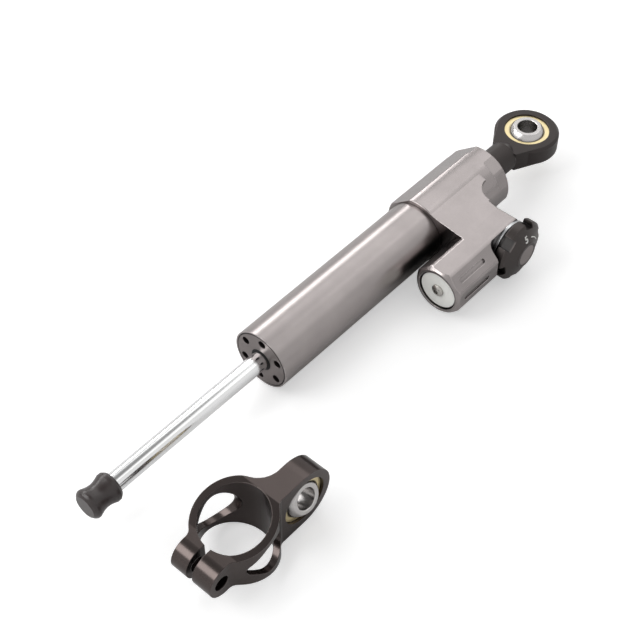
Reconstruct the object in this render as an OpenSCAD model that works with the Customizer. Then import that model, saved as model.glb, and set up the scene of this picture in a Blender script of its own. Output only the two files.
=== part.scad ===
// Motorcycle steering damper with a through rod, a side reservoir, a damping knob and a loose clamp.
// The origin is the centre of the ball in the rod eye. +Z runs up along the bolt bore of that ball,
// and +X runs along the damper's axis from the rod tip to the rod eye. All sizes are millimetres.

/* [Cylinder] */
// Outer diameter of the tube, which the clamp grips
tube_d = 27; // [26:0.5:32]
// Wall of the tube
tube_wall = 1.8; // [1.4:0.1:2.2]
// Tube that shows between the gland's face and the head
tube_exposed = 97; // [85:1:130]
// Depth of tube inside the head
tube_socket = 8.4; // [6:0.2:12]
// Step turned on the end of the tube that sits in the head
tube_step = 0.3; // [0.2:0.05:0.4]
// Ring-shaped bypass gap between tube and liner
bypass_gap = 1.2; // [0.8:0.1:1.4]
// Wall of the inner liner
liner_wall = 1.5; // [1:0.1:2]
// Depth of the liner's seat in gland and head
liner_seat = 2; // [1:0.2:3]

/* [Gland] */
// Thickness of the gland's flange
gland_flange_t = 3; // [2.8:0.2:5]
// Lip of tube left round the flange
tube_lip = 0.6; // [0.4:0.1:1]
// Diameter of the pin-spanner holes
spanner_hole_d = 3.6; // [3:0.1:4]
// Circle of the pin-spanner holes
spanner_pcd = 19.4; // [18.6:0.2:20.4]
// Depth of the pin-spanner holes
spanner_depth = 2.6; // [1.5:0.1:2.6]
// Number of pin-spanner holes
spanner_holes = 6; // [4:1:8]
// Turn of the gland, as the photo shows its holes
gland_turn = 5; // [0:1:59]

/* [Rod seals] */
// Length of the wiper's seat
wiper_len = 3; // [2:0.2:4]
// Outer diameter of the wiper
wiper_d = 12; // [11:0.2:14]
// Metal in front of the wiper's groove
wiper_cover = 0.8; // [0.6:0.1:1]
// Thickness of the wiper's lip, which shows round the rod
wiper_lip = 0.95; // [0.8:0.05:1.1]
// Length of the seal's groove
seal_len = 2.6; // [2:0.2:3]
// Outer diameter of the rod seal
seal_d = 12.8; // [11.6:0.2:15]
// Length of the guide bush
bush_len = 6; // [5:0.5:10]
// Outer diameter of the guide bush
bush_d = 11; // [10.4:0.2:12.6]
// Metal between wiper, seal and bush
seal_web = 1.2; // [1:0.1:2]

/* [Rod and piston] */
// Diameter of the chromed rod
rod_d = 8; // [7:0.5:9]
// Rod that shows between the tip cap and the gland
rod_exposed = 79.5; // [78:0.5:90]
// Length of the piston
piston_len = 14; // [11:0.5:15]
// Space between piston and gland when the rod is pushed in
piston_gap = 2; // [1.6:0.1:3]
// Space between the piston's land and the liner
piston_land_gap = 0.4; // [0.2:0.05:0.6]
// Width of the piston's wear band
band_w = 6; // [4:0.5:8]
// Thickness of the wear band
band_t = 1.3; // [0.9:0.1:1.8]
// Thickness of the piston's clips
clip_t = 1; // [0.8:0.1:1.2]

/* [Rod tip cap] */
// Length of the tip cap
tip_len = 13.7; // [12:0.1:18]
// Diameter of the tip cap's two rims
tip_d = 12.6; // [12:0.1:16]
// Diameter of the tip cap's waist
tip_waist_d = 10.6; // [10:0.1:11.6]
// Diameter of the tip cap's flat nose
tip_nose_d = 9.6; // [8:0.1:10.8]
// Depth of rod inside the tip cap
tip_depth = 10; // [7:0.5:11]

/* [Head] */
// Diameter of the round head
head_d = 31; // [31:0.5:38]
// Length of the round head
head_len = 46.2; // [42:0.2:60]
// Length of the web that joins head and reservoir
web_len = 25.5; // [24:0.5:28]
// Rise of the web's top from the barrel up to the round of the head
web_rise = 2; // [1.4:0.1:2.6]
// Radius that eases the web's top into the round of the head
web_ease = 10; // [6:0.5:12]
// Upright radius between the web's rear face and the head
web_fillet = 8; // [5:0.5:9]
// Width of the bevel along the web's rear edges
web_bevel_w = 2; // [1:0.1:2.4]
// Depth of the flats on the far side of the head
head_flat = 1.4; // [0.6:0.1:1.8]
// Length of the spanner flats at the head's rear end
spanner_flat_len = 6.9; // [6:0.1:12]
// Depth of the spanner flats
spanner_flat = 0.4; // [0.3:0.05:0.5]

/* [Reservoir] */
// Width of the eight-sided barrel across its flats
res_af = 22.4; // [22:0.2:25]
// Distance between the barrel's axis and the damper's axis
res_offset = 29.1; // [28.6:0.1:33]
// Reach of the barrel in front of the head
res_front = 22; // [18:0.5:30]
// Bore of the reservoir
res_bore_d = 18.6; // [17.6:0.1:19]
// Metal between the reservoir's bore and the knob's pocket
res_end_wall = 1.6; // [1:0.1:2.4]
// Bevel turned round the barrel's front edge
res_bevel = 0.8; // [0.4:0.1:0.9]
// Length of the grooves milled in the barrel's facets
groove_len = 16.6; // [8:0.2:17]
// Width of the milled grooves
groove_w = 2.2; // [1.4:0.1:3]
// Depth of the milled grooves
groove_depth = 0.8; // [0.4:0.1:1]
// Start of the grooves behind the barrel's front face
groove_start = 4.4; // [3:0.2:5]
// Setback of the cap's face behind the barrel's front face
cap_setback = 0.8; // [0.4:0.1:1.4]
// Diameter of the cap's raised face
cap_face_d = 17.3; // [15:0.1:17.4]
// Height of the cap's raised face
cap_face_h = 1.6; // [1.2:0.1:2]
// Thickness of the cap's flange
cap_flange_t = 4.6; // [4:0.2:6]
// Thickness of the circlip in front of the cap
circlip_t = 0.9; // [0.7:0.1:1.1]
// Depth of the circlip's groove
circlip_groove = 0.7; // [0.5:0.1:0.9]
// Length of the floating piston
floater_len = 7; // [6:0.5:8]

/* [Adjuster] */
// Distance of the knob's axis in front of the web's rear end
knob_ahead = 6; // [5.5:0.5:8]
// Distance of the pocket's floor outside the barrel's axis
pocket_out = 4.9; // [4:0.1:6]
// Radius in the pocket's corner
pocket_corner = 3; // [1.5:0.5:5]
// Space between knob and pocket wall
pocket_gap = 0.8; // [0.5:0.1:2]
// Diameter of the knob
knob_d = 27.6; // [24:0.2:28]
// Height of the knob above the collar
knob_h = 9.3; // [9:0.1:12]
// Turn of the knob's notches, as the photo shows them
notch_turn = 12; // [0:1:60]
// Number of finger notches in the knob's rim
knob_notches = 6; // [4:1:8]
// Width of a finger notch
notch_w = 5.2; // [3:0.1:6]
// Depth of a finger notch
notch_depth = 2.4; // [1:0.1:2.8]
// Diameter of the disc in the middle of the knob
knob_cap_d = 10.4; // [8:0.1:11]
// Diameter of the collar behind the knob
collar_d = 22; // [20:0.2:24]
// Thickness of the collar
collar_t = 1.2; // [0.8:0.1:1.6]
// Diameter of the valve bore that the spindle turns in
valve_d = 8; // [7:0.2:9]
// Depth of the valve bore below the pocket
valve_depth = 14; // [13:0.5:16]
// Diameter of the cross drillings
drill_d = 3; // [2:0.2:3.4]

/* [Rod eye] */
// Distance from the head's rear face to the centre of the eye
eye_reach = 33.8; // [32:0.2:45]
// Outer diameter of the eye
eye_d = 29.4; // [28:0.2:34]
// Thickness of the eye
eye_t = 9.5; // [9:0.1:12]
// Diameter of the round neck
neck_d = 14; // [12:0.2:16]
// Length of the round neck
neck_len = 16; // [14:0.5:17]
// Width of the eye's cheeks where they leave the neck
cheek_w = 12.8; // [11:0.1:13.6]
// Bevel round both faces of the eye
eye_bevel = 1.2; // [0.6:0.1:1.6]
// Space between neck and head when the rod is pushed in
neck_gap = 0.5; // [0.4:0.1:1.5]

/* [Ball joints] */
// Bolt bore of the balls
bolt_d = 9; // [6:0.2:9.2]
// Diameter of the balls
ball_d = 18; // [17:0.2:18.6]
// Width of the balls over their flat faces
ball_w = 13; // [11:0.2:14]
// Outer diameter of the brass races
race_d = 20.6; // [20:0.2:22]
// Width of the brass races
race_w = 8; // [6:0.2:8.4]

/* [Clamp] */
// Wall of the clamp's ring
clamp_wall = 2.75; // [2.2:0.05:3.5]
// Height of the clamp at its eye
clamp_h = 27.6; // [27:0.2:32]
// Distance from the ring's axis to the centre of the eye
clamp_eye_out = 27.3; // [27:0.1:36]
// Thickness of the eye's plate
plate_t = 9.6; // [9.4:0.2:11]
// Height of the two ears
ear_h = 15.2; // [13:0.2:17]
// Reach of the near ear from the ring's axis
ear_near = 10.4; // [9:0.2:12]
// Reach of the far ear from the ring's axis
ear_far = 9; // [8:0.2:12]
// Reach of the plate's near face from the ring's axis
plate_near = 9; // [8:0.2:10]
// Width of the slit between the ears
slit_w = 3; // [1.5:0.1:4]
// Hole for the pinch screw
pinch_hole_d = 6.4; // [5.3:0.1:6.8]
// Metal between pinch hole and ring bore
pinch_land = 0.85; // [0.7:0.05:2]
// Radius of the wide end of the ring's windows
window_r = 8.3; // [7:0.1:9]
// Place of the wide end, from the ring's axis towards the eye
window_ahead = 3.2; // [2:0.1:4]
// Radius of the narrow end of the ring's windows
window_tail_r = 3.2; // [2:0.1:4]
// Place of the narrow end, from the ring's axis towards the ears
window_tail = 5.4; // [5:0.1:6]
// Setback of the clamp's race behind the middle of the plate
clamp_race_set = 0.5; // [0:0.1:0.5]
// Turn of the clamp's ball in its race, as it lies
clamp_ball_tilt = 18; // [-18:1:18]
// Place of the clamp's axis in front of the gland's face
clamp_ahead = 64.5; // [60:0.5:90]
// Place of the clamp's axis beside the damper's axis
clamp_aside = 47.9; // [40:0.1:70]

/* [Clearances] */
// Radial clearance of pieces that move in one another
run_fit = 0.05; // [0.02:0.01:0.08]
// Radial clearance of pieces that are fixed in one another
seat_fit = 0.02; // [0.01:0.01:0.05]
// Radial clearance of a hole round a rod or a screw that doesn't touch it
free_fit = 0.3; // [0.2:0.05:0.5]
// Shoulder that keeps neighbouring faces apart along an axis
end_gap = 0.05; // [0.03:0.01:0.1]

/* [Hidden] */
$fn = 96;

// Extra reach of a cutting shape past the face that it cuts
over = 1;
// Depth by which a straight outline runs into the round that it is tangent to
sink = 0.01;
// Small edge breaks on turned and milled pieces
edge = 0.6;
// Bolt bores have a lead-in on both faces
lead_in = 0.2;

// Stations along the axis, counted from the gland's outer face
tube_id = tube_d - 2 * tube_wall;
spigot_d = tube_d - 2 * tube_step;
liner_d = tube_id - 2 * bypass_gap;
liner_id = liner_d - 2 * liner_wall;
lip_r = rod_d / 2 + run_fit + wiper_lip;
seal_stack = wiper_len + seal_len + bush_len + 2 * seal_web;
gland_len = seal_stack + liner_seat;
head_cord = 1.6;
socket_depth = tube_socket + head_cord;
head_s = tube_exposed;
head_floor_s = head_s + socket_depth;
head_end_s = head_s + head_len;
web_end_s = head_s + web_len;
eye_s = head_end_s + eye_reach;
res_s = head_s - res_front;
knob_s = web_end_s - knob_ahead;
pocket_s = knob_s - knob_d / 2 - pocket_gap;
res_floor_s = pocket_s - res_end_wall;
cap_back_s = res_s + cap_setback + cap_face_h + cap_flange_t;
floater_s = (cap_back_s + res_floor_s - floater_len) / 2;
piston_s = seal_stack + piston_gap;
tip_s = -rod_exposed;

// Cross sizes of the head and the reservoir
head_r = head_d / 2;
res_y = -res_offset;
res_half = res_af / 2;
res_corner_r = res_half / cos(180 / 8);
res_half_side = res_half * tan(180 / 8);
floor_z = -head_r;

// Top of the web: a line from the barrel's inner edge up to the round of the head
web_corner = [res_y + res_half_side, res_half];
web_root_z = res_half + web_rise;
web_root = [-sqrt(pow(head_r, 2) - pow(web_root_z, 2)), web_root_z];
web_lean = atan2(web_root[1] - web_corner[1], web_root[0] - web_corner[0]);
web_height = web_corner[1] * cos(web_lean) - web_corner[0] * sin(web_lean);
web_shoulder = 0.7 * head_r;
web_fillet_x = web_end_s + web_fillet - eye_s;
web_fillet_y = -web_shoulder - web_fillet;

// Seats inside the head and the barrel
cavity_clear = 0.3;
cavity_d = seal_d + 2 * cavity_clear;
pocket_y = res_y - pocket_out;
drill_in = 2;
drill_y = res_y + drill_in;

// Sizes of the adjuster, counted outwards from the pocket's floor
collar_body = 3;
valve_step = 1;
collar_body_d = valve_d + 2 * valve_step;
knob_back = collar_t + 2 * end_gap;
knob_top = knob_back + knob_h;
knob_hub_h = 1.5;
knob_cap_t = 1.2;
spindle_neck_d = valve_d - 2 * valve_step;
drive_step = 0.45;
spindle_drive_d = spindle_neck_d - 2 * drive_step;
spindle_drive_h = 4.4;
screw_d = 3;
screw_head_d = 5.4;
screw_head_h = 2;
screw_seat = knob_top - knob_cap_t - screw_head_h - end_gap;
detent_r = 8;
detent_bite = 0.3;
detent_ball_d = 2.2;
plunger_d = 3.1;
plunger_len = 6.5;

// Sizes of the clamp
clamp_bore_r = tube_d / 2 + run_fit;
clamp_out_r = clamp_bore_r + clamp_wall;
clamp_eye_r = clamp_h / 2;
clamp_mid_z = floor_z + clamp_h / 2;
ear_r = ear_h / 2;
pinch_u = clamp_bore_r + pinch_hole_d / 2 + pinch_land;
ear_round = 1.8;
ear_u = pinch_u - ear_round;
ear_straight = 5;
taper_u = ear_u - ear_straight;
plate_mid = plate_t / 2 - plate_near;

// Rubber rings: cord of each ring, and the room that its groove leaves on either side of it
gland_cord = 1.8;
cap_cord = 1.7;
spindle_cord = 0.9;
ring_play = 0.2;
gland_ring_land = 2;
gland_ring_at = gland_len - liner_seat - gland_ring_land - gland_cord;
cap_ring_at = cap_face_h + (cap_flange_t - cap_cord) / 2 - ring_play;
floater_land = 1.2;
floater_ring_at = floater_len - floater_land - cap_cord - 2 * ring_play;
valve_top = -collar_body - end_gap;
spindle_land = 1.1;
spindle_ring_at = valve_top - spindle_land - spindle_cord - 2 * ring_play;

// The rod: how far it runs on past the eye's neck, and how deep its clips sit in it
rod_past_neck = 2;
clip_bite = 0.4;

// Turns a shape that stands on the floor so that it points along the damper's axis
module along_x(s) {
  translate([s - eye_s, 0, 0]) rotate([0, 90, 0]) children();
}

// The same on the reservoir's axis
module along_reservoir(s) {
  translate([s - eye_s, res_y, 0]) rotate([0, 90, 0]) children();
}

// Stands a shape on the pocket's floor, pointing out along the knob's axis
module at_knob() {
  translate([knob_s - eye_s, pocket_y, 0]) rotate([90, 0, 0]) children();
}

// Lays an outline across the damper and draws it along the axis from station s
module across(s, len) {
  translate([s - eye_s, 0, 0]) rotate([90, 0, 90]) linear_extrude(len) children();
}

// Places the rear seals: the same stack as in the gland, turned end for end
module at_rear_seals() {
  translate([head_end_s - eye_s, 0, 0]) rotate([0, -90, 0]) children();
}

module at_clamp() {
  translate([-clamp_ahead - eye_s, -clamp_aside, clamp_mid_z]) children();
}

module at_clamp_eye() {
  at_clamp() translate([clamp_eye_out, plate_mid + clamp_race_set, 0]) rotate([90, 0, 0]) children();
}

module tube(outer_d, inner_d, len) {
  difference() {
    cylinder(d = outer_d, h = len);
    translate([0, 0, -over]) cylinder(d = inner_d, h = len + 2 * over);
  }
}

module rubber_ring(outer_d, cord) {
  rotate_extrude() translate([outer_d / 2 - cord / 2, 0]) circle(d = cord, $fn = 48);
}

// Round groove in a turned piece, from the outer diameter down to the floor
module turned_groove(outer_d, floor_d, width) {
  tube(outer_d + 2 * over, floor_d, width);
}

// Outline of two discs on one line joined by their outer tangents
module tangent_pair(c1, r1, c2, r2) {
  turn = acos((r1 - r2) / (c2 - c1));
  in1 = r1 - sink;
  in2 = r2 - sink;
  translate([c1, 0]) circle(r1);
  translate([c2, 0]) circle(r2);
  polygon([
    [c1 + in1 * cos(turn), in1 * sin(turn)],
    [c2 + in2 * cos(turn), in2 * sin(turn)],
    [c2 + in2 * cos(turn), -in2 * sin(turn)],
    [c1 + in1 * cos(turn), -in1 * sin(turn)]
  ]);
}

// Concave corner between a round of radius r at the origin and a straight side at height h
module corner_fill(r, h, fillet) {
  up = h + fillet - sink;
  reach = sqrt(pow(r + fillet - sink, 2) - pow(up, 2));
  difference() {
    polygon([[0, 0], [reach, 0], [reach, up]]);
    translate([reach, up]) circle(fillet);
  }
}

module hex_socket(across_flats, depth) {
  cylinder(d = across_flats / cos(30), h = depth, $fn = 6);
}

// Room for wiper, seal and bush, counted inwards from the outer face
module rod_bore(len) {
  seal_at = wiper_len + seal_web;
  bush_at = seal_at + seal_len + seal_web;
  translate([0, 0, -over]) cylinder(d = rod_d + 2 * free_fit, h = len + 2 * over);
  translate([0, 0, -over]) cylinder(r = lip_r + seat_fit, h = wiper_len + over);
  translate([0, 0, wiper_cover]) cylinder(d = wiper_d + 2 * seat_fit, h = wiper_len - wiper_cover);
  translate([0, 0, seal_at]) cylinder(d = seal_d + 2 * seat_fit, h = seal_len);
  translate([0, 0, bush_at]) cylinder(d = bush_d + 2 * seat_fit, h = bush_len + over);
}

// Wiper, snapped into its groove, with a lip that stands out round the rod
module wiper() {
  in_r = rod_d / 2 + run_fit;
  tip_r = in_r + wiper_lip / 2;
  lip_out = 0.3;
  back_lead = 1;
  back = wiper_len - end_gap;
  rotate_extrude()
    polygon([
      [in_r, -lip_out], [tip_r, -lip_out], [lip_r, 0], [lip_r, wiper_cover + end_gap],
      [wiper_d / 2, wiper_cover + end_gap], [wiper_d / 2, back], [tip_r, back], [in_r, back - back_lead]
    ]);
}

// Rod seal with a vee-shaped mouth towards the oil
module rod_seal() {
  in_r = rod_d / 2 + run_fit;
  out_r = seal_d / 2;
  mid_r = (in_r + out_r) / 2;
  len = seal_len - 2 * end_gap;
  vee_half = 0.6;
  vee_depth = 1.3;
  translate([0, 0, wiper_len + seal_web + end_gap])
    rotate_extrude()
      polygon([
        [in_r, 0], [out_r, 0], [out_r, len], [mid_r + vee_half, len], [mid_r, len - vee_depth],
        [mid_r - vee_half, len], [in_r, len]
      ]);
}

module guide_bush() {
  translate([0, 0, wiper_len + seal_len + 2 * seal_web])
    tube(bush_d, rod_d + 2 * run_fit, bush_len);
}

module cylinder_tube() {
  color("#8d8784")
    along_x(0)
      difference() {
        union() {
          cylinder(d = tube_d, h = tube_exposed - end_gap);
          cylinder(d = spigot_d, h = tube_exposed + tube_socket);
        }
        translate([0, 0, -over]) cylinder(d = tube_id, h = tube_exposed + tube_socket + 2 * over);
        translate([0, 0, -over]) cylinder(d = tube_d - 2 * tube_lip, h = gland_flange_t + over);
      }
}

module inner_liner() {
  ports = 4;
  port_d = 2;
  liner_s = gland_len - liner_seat;
  color("#b9bcc0")
    along_x(liner_s)
      difference() {
        tube(liner_d, liner_id, head_floor_s + liner_seat - liner_s);
        for (k = [0 : ports - 1])
          translate([0, 0, liner_seat + port_d])
            rotate([90, 0, k * 360 / ports]) cylinder(d = port_d, h = liner_d);
      }
}

module rod_gland() {
  flange_r = tube_d / 2 - tube_lip - seat_fit;
  color("#837d7a")
    along_x(0)
      difference() {
        union() {
          rotate_extrude()
            polygon([
              [0, 0], [flange_r - edge / 2, 0], [flange_r, edge / 2], [flange_r, gland_flange_t],
              [0, gland_flange_t]
            ]);
          cylinder(d = tube_id - 2 * seat_fit, h = gland_len);
        }
        rod_bore(gland_len);
        translate([0, 0, seal_stack]) cylinder(d = liner_d + 2 * seat_fit, h = liner_seat + over);
        translate([0, 0, gland_ring_at])
          turned_groove(tube_id, tube_id - 2 * gland_cord, gland_cord + 2 * ring_play);
        for (k = [0 : spanner_holes - 1])
          rotate(gland_turn + k * 360 / spanner_holes)
            translate([spanner_pcd / 2, 0, -over])
              cylinder(d = spanner_hole_d, h = spanner_depth + over, $fn = 48);
      }
}

module gland_o_ring() {
  color("#1c1c1e")
    along_x(gland_ring_at + ring_play + gland_cord / 2)
      rubber_ring(tube_id - 2 * seat_fit, gland_cord - seat_fit);
}

module front_wiper() {
  color("#161618") along_x(0) wiper();
}

module front_rod_seal() {
  color("#2a2a2c") along_x(0) rod_seal();
}

module front_guide_bush() {
  color("#b08d3c") along_x(0) guide_bush();
}

// Section of the web: its top leans up from the barrel and eases into the round of the head
module web_outline() {
  inner = web_root + over * [cos(web_lean), sin(web_lean)];
  polygon([
    inner, web_corner, [res_y, res_half], [res_y, -res_half], [web_corner[0], -web_corner[1]],
    [inner[0], -inner[1]]
  ]);
  for (side = [0, 1])
    mirror([0, side])
      rotate(web_lean) mirror([1, 0]) corner_fill(head_r, web_height, web_ease);
}

// Web between head and barrel, with an upright radius behind it where it runs out on the head
module web() {
  difference() {
    across(head_s, web_len + web_fillet) web_outline();
    translate([web_fillet_x, web_fillet_y, -head_d]) cylinder(r = web_fillet, h = 2 * head_d);
    translate([web_fillet_x - web_fillet, web_fillet_y - res_offset, -head_d])
      cube([web_fillet + over, res_offset, 2 * head_d]);
  }
}

// Bevel along the rear edge of the web's top and of the barrel's facet
module web_bevel() {
  near_y = web_fillet_y - edge / 2;
  far_y = res_y - 2 * res_half_side;
  translate([web_end_s - eye_s, (near_y + far_y) / 2, res_half])
    rotate([0, 45, 0]) cube([web_bevel_w, near_y - far_y, web_bevel_w], center = true);
}

// Eight-sided barrel of the reservoir, with its long edges rounded and its front edge bevelled
module barrel() {
  len = web_end_s - res_s;
  front_r = res_half - res_bevel;
  side_r = res_corner_r - edge / 2;
  along_reservoir(res_s)
    intersection() {
      rotate(180 / 8) cylinder(r = res_corner_r, h = len, $fn = 8);
      rotate_extrude()
        polygon([[0, 0], [front_r, 0], [side_r, side_r - front_r], [side_r, len], [0, len]]);
    }
}

// Round-ended groove milled in the barrel's facet that faces the given angle
module facet_groove(angle) {
  along_reservoir(res_s + groove_start)
    rotate(angle)
      translate([0, res_half - groove_depth, 0])
        rotate([-90, 0, 0])
          linear_extrude(groove_depth + over) {
            translate([0, -groove_w / 2]) circle(d = groove_w, $fn = 32);
            translate([0, groove_w / 2 - groove_len]) circle(d = groove_w, $fn = 32);
            translate([-groove_w / 2, groove_w / 2 - groove_len])
              square([groove_w, groove_len - groove_w]);
          }
}

// Pocket that the knob sits in, open at the rear and on the outside
module knob_pocket() {
  reach = web_end_s - pocket_s + over;
  out = res_af;
  translate([pocket_s - eye_s, pocket_y, -res_af]) {
    translate([pocket_corner, -out, 0]) cube([reach, out, 2 * res_af]);
    translate([0, -out, 0]) cube([reach, out - pocket_corner, 2 * res_af]);
    translate([pocket_corner, -pocket_corner, 0]) cylinder(r = pocket_corner, h = 2 * res_af);
  }
}

// Spanner flat at the rear end of the head, with a round inner end as the cutter leaves it
module spanner_flat_cut(angle, depth) {
  wide = 2 * sqrt(pow(head_r, 2) - pow(head_r - depth, 2)) + over;
  round = wide / 6;
  along_x(head_end_s - spanner_flat_len)
    rotate(angle)
      translate([0, head_r - depth, 0])
        rotate([-90, 0, 0])
          linear_extrude(head_r) {
            translate([-wide / 2, -spanner_flat_len - over])
              square([wide, spanner_flat_len + over - round]);
            translate([-wide / 2 + round, -round]) circle(round);
            translate([wide / 2 - round, -round]) circle(round);
            translate([-wide / 2 + round, -round]) square([wide - 2 * round, round]);
          }
}

module head_flat_cut(angle) {
  along_x(head_s - over)
    rotate(angle)
      translate([-head_r, head_r - head_flat, 0]) cube([head_d, head_r, head_len + 2 * over]);
}

module head_bores() {
  along_x(head_s - over) cylinder(d = spigot_d + 2 * seat_fit, h = socket_depth + over);
  along_x(head_floor_s) cylinder(d = liner_d + 2 * seat_fit, h = liner_seat);
  along_x(head_floor_s) cylinder(d = cavity_d, h = head_end_s - seal_stack - head_floor_s);
  at_rear_seals() rod_bore(head_end_s - head_floor_s);
}

module reservoir_bores() {
  shoulder = cap_setback + cap_face_h;
  along_reservoir(res_s - over) cylinder(d = res_bore_d, h = res_floor_s - res_s + over);
  along_reservoir(res_s + shoulder - circlip_t - 2 * end_gap)
    cylinder(d = res_bore_d + 2 * circlip_groove, h = circlip_t + 2 * end_gap);
}

// Bores of the adjuster, and the drillings from the reservoir to the valve and on to the cylinder
module valve_bores() {
  at_knob() {
    translate([0, 0, -collar_body]) cylinder(d = collar_body_d + 2 * seat_fit, h = collar_body + over);
    translate([0, 0, -valve_depth]) cylinder(d = valve_d, h = valve_depth);
    translate([0, 0, pocket_y]) cylinder(d = drill_d, h = -pocket_y - valve_depth + over);
    translate([0, detent_r, -plunger_len])
      cylinder(d = plunger_d + 2 * seat_fit, h = plunger_len + over, $fn = 48);
  }
  translate([res_floor_s - over - eye_s, drill_y, 0])
    rotate([0, 90, 0]) cylinder(d = drill_d, h = knob_s - res_floor_s + over);
}

// Head with the reservoir's barrel beside it, milled from one bar
module head_block() {
  far_flats = [50, -50];
  near_flats = [121, 151, -151, -121];
  grooves = [135, 180, 225];
  color("#8f8986")
    difference() {
      union() {
        along_x(head_s)
          rotate_extrude()
            polygon([
              [0, 0], [head_r - edge / 2, 0], [head_r, edge / 2], [head_r, head_len - edge],
              [head_r - edge, head_len], [0, head_len]
            ]);
        web();
        barrel();
      }
      for (angle = far_flats) {
        head_flat_cut(angle);
        spanner_flat_cut(angle, head_flat + spanner_flat);
      }
      for (angle = near_flats)
        spanner_flat_cut(angle, spanner_flat);
      for (angle = grooves)
        facet_groove(angle);
      for (side = [0, 1])
        mirror([0, 0, side]) web_bevel();
      knob_pocket();
      head_bores();
      reservoir_bores();
      valve_bores();
    }
}

module head_o_ring() {
  color("#1c1c1e")
    along_x(head_floor_s - head_cord / 2) rubber_ring(spigot_d - 2 * seat_fit, head_cord - 2 * seat_fit);
}

module rear_guide_bush() {
  color("#b08d3c") at_rear_seals() guide_bush();
}

module rear_rod_seal() {
  color("#2a2a2c") at_rear_seals() rod_seal();
}

module rear_wiper() {
  color("#161618") at_rear_seals() wiper();
}

module reservoir_cap() {
  color("#d5d6d6")
    along_reservoir(res_s + cap_setback)
      difference() {
        union() {
          cylinder(d = cap_face_d, h = cap_face_h);
          translate([0, 0, cap_face_h]) cylinder(d = res_bore_d - 2 * seat_fit, h = cap_flange_t);
        }
        translate([0, 0, cap_ring_at])
          turned_groove(res_bore_d, res_bore_d - 2 * cap_cord, cap_cord + 2 * ring_play);
        translate([0, 0, -over])
          cylinder(d = screw_d + 2 * seat_fit, h = cap_face_h + cap_flange_t + 2 * over);
      }
}

module cap_o_ring() {
  color("#1c1c1e")
    along_reservoir(res_s + cap_setback + cap_ring_at + ring_play + cap_cord / 2)
      rubber_ring(res_bore_d - 2 * seat_fit, cap_cord - seat_fit);
}

// Open spring ring in its groove, in front of the cap's shoulder
module cap_circlip() {
  gap = 6;
  face_clear = 0.1;
  out_d = res_bore_d + 2 * circlip_groove - 2 * seat_fit;
  color("#242326")
    along_reservoir(res_s + cap_setback + cap_face_h - circlip_t - end_gap)
      difference() {
        tube(out_d, cap_face_d + 2 * face_clear, circlip_t);
        translate([-gap / 2, 0, -over]) cube([gap, out_d, circlip_t + 2 * over]);
      }
}

// Domed screw with a hex socket, drawn pointing down with its head above the floor
module dome_screw(shank) {
  head_h = 1.7;
  dome_r = 4;
  key_af = 2;
  key_depth = 1.1;
  difference() {
    union() {
      translate([0, 0, -shank]) cylinder(d = screw_d, h = shank);
      intersection() {
        cylinder(d = screw_head_d, h = head_h);
        translate([0, 0, head_h - dome_r]) sphere(dome_r);
      }
    }
    translate([0, 0, head_h - key_depth]) hex_socket(key_af, key_depth + over);
  }
}

module filler_screw() {
  short_of_back = 0.4;
  shank = cap_face_h + cap_flange_t - short_of_back;
  color("#cfcfcf") along_reservoir(res_s + cap_setback) mirror([0, 0, 1]) dome_screw(shank);
}

// Cup that parts the oil from the gas
module floating_piston() {
  wall = 2.2;
  color("#c3c6ca")
    along_reservoir(floater_s)
      difference() {
        cylinder(d = res_bore_d - 2 * run_fit, h = floater_len);
        translate([0, 0, -over])
          cylinder(d = res_bore_d - 2 * (wall + cap_cord), h = floater_len - wall + over);
        translate([0, 0, floater_ring_at])
          turned_groove(res_bore_d, res_bore_d - 2 * cap_cord, cap_cord + 2 * ring_play);
      }
}

module floating_piston_o_ring() {
  color("#1c1c1e")
    along_reservoir(floater_s + floater_ring_at + ring_play + cap_cord / 2)
      rubber_ring(res_bore_d - 2 * run_fit, cap_cord - 2 * run_fit);
}

module adjuster_collar() {
  color("#cdced0")
    at_knob()
      difference() {
        union() {
          cylinder(d = collar_d, h = collar_t);
          translate([0, 0, -collar_body + end_gap]) cylinder(d = collar_body_d, h = collar_body);
        }
        translate([0, 0, -collar_body - over])
          cylinder(d = spindle_neck_d, h = collar_body + collar_t + 2 * over);
        translate([0, detent_r, -over])
          cylinder(d = detent_ball_d + 2 * free_fit, h = collar_t + 2 * over, $fn = 48);
      }
}

// Sleeve of the spring plunger, open towards the knob
module detent_plunger() {
  sleeve = 0.35;
  closed_end = 1.5;
  color("#9a9a9c")
    at_knob()
      translate([0, detent_r, -plunger_len])
        difference() {
          cylinder(d = plunger_d, h = plunger_len - end_gap, $fn = 48);
          translate([0, 0, closed_end]) cylinder(d = plunger_d - 2 * sleeve, h = plunger_len, $fn = 48);
        }
}

module detent_ball() {
  color("#d9d9d9")
    at_knob()
      translate([0, detent_r, knob_back + detent_bite - detent_ball_d / 2])
        sphere(d = detent_ball_d, $fn = 48);
}

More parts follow.
